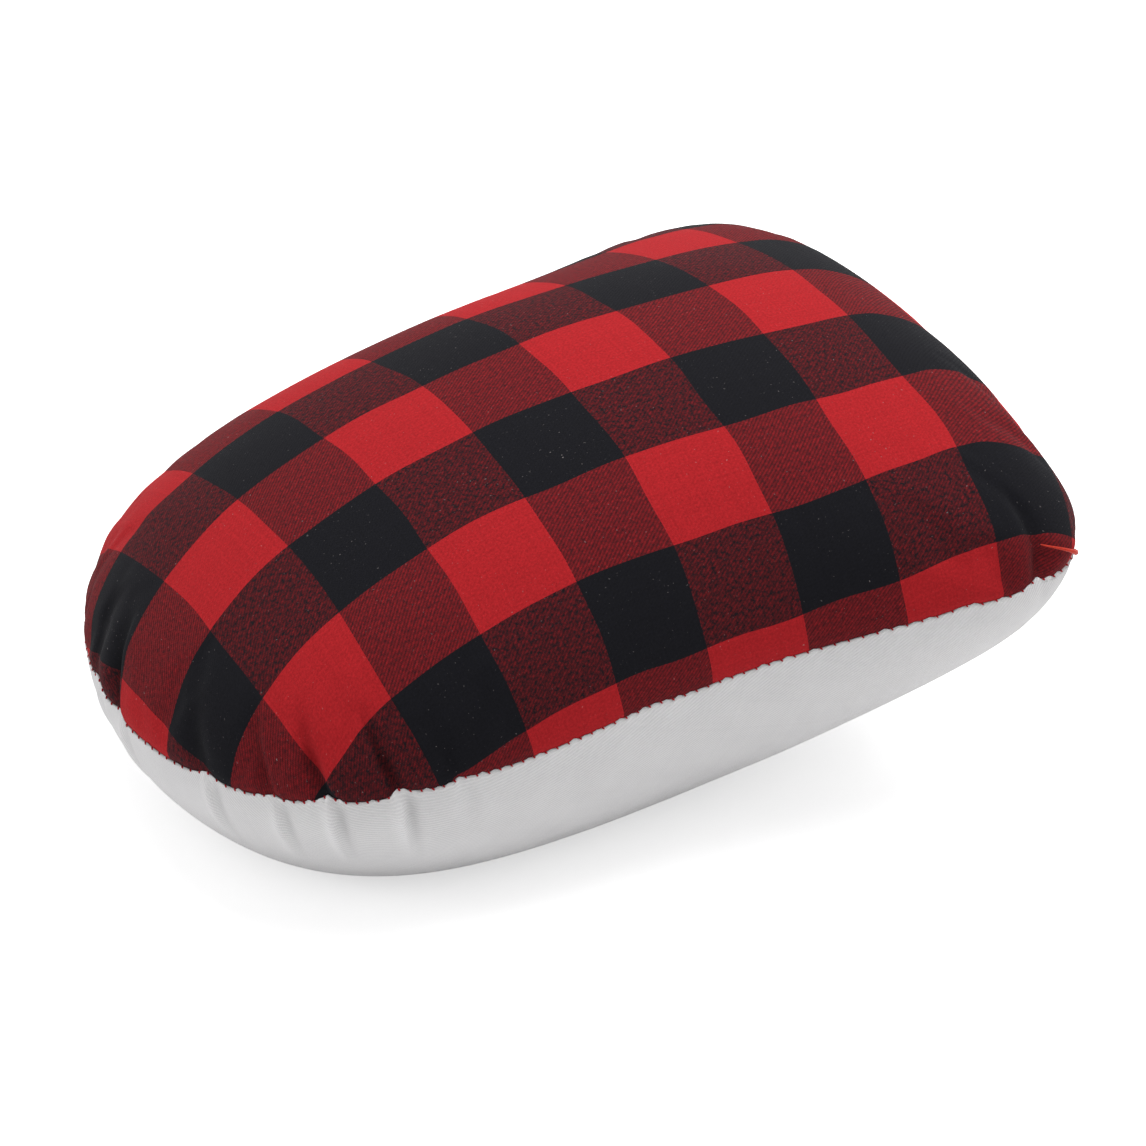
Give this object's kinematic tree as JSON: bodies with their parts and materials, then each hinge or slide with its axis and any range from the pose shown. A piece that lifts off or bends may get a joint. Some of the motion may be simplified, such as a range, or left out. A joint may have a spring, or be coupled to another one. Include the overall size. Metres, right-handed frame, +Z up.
{
  "type": "tailors ham",
  "caption": "Firm stuffed pressing cushion, rounded like a ham: broad at one end, narrower at the other, checked wool-look cover above and white drill below, sewn round one seam.",
  "frame": {"origin": "on the table, under the middle of the ham's bounding box", "axes": "+X along the ham towards its broad end, +Z up from the table, +Y to the far side of the picture"},
  "size_m": [0.2176, 0.1746, 0.1045],
  "materials": {
    "checked_twill": "brushed red and black checked twill, soft nap, matt",
    "white_drill": "white cotton drill with a fine diagonal rib, matt",
    "lining_calico": "unbleached plain-woven calico, matt",
    "sawdust": "tightly packed dry softwood sawdust, matt and grainy",
    "red_thread": "twisted red sewing thread, slight sheen",
    "closing_thread": "twisted orange-red hand-sewing thread, slight sheen"
  },
  "bodies": {
    "root": {"plaid_cover": "checked_twill", "drill_cover": "white_drill", "upper_lining": "lining_calico", "lower_lining": "lining_calico", "sawdust_filling": "sawdust", "needle_thread": "red_thread", "bobbin_thread": "red_thread", "closing_thread": "closing_thread"}
  },
  "joints": []
}
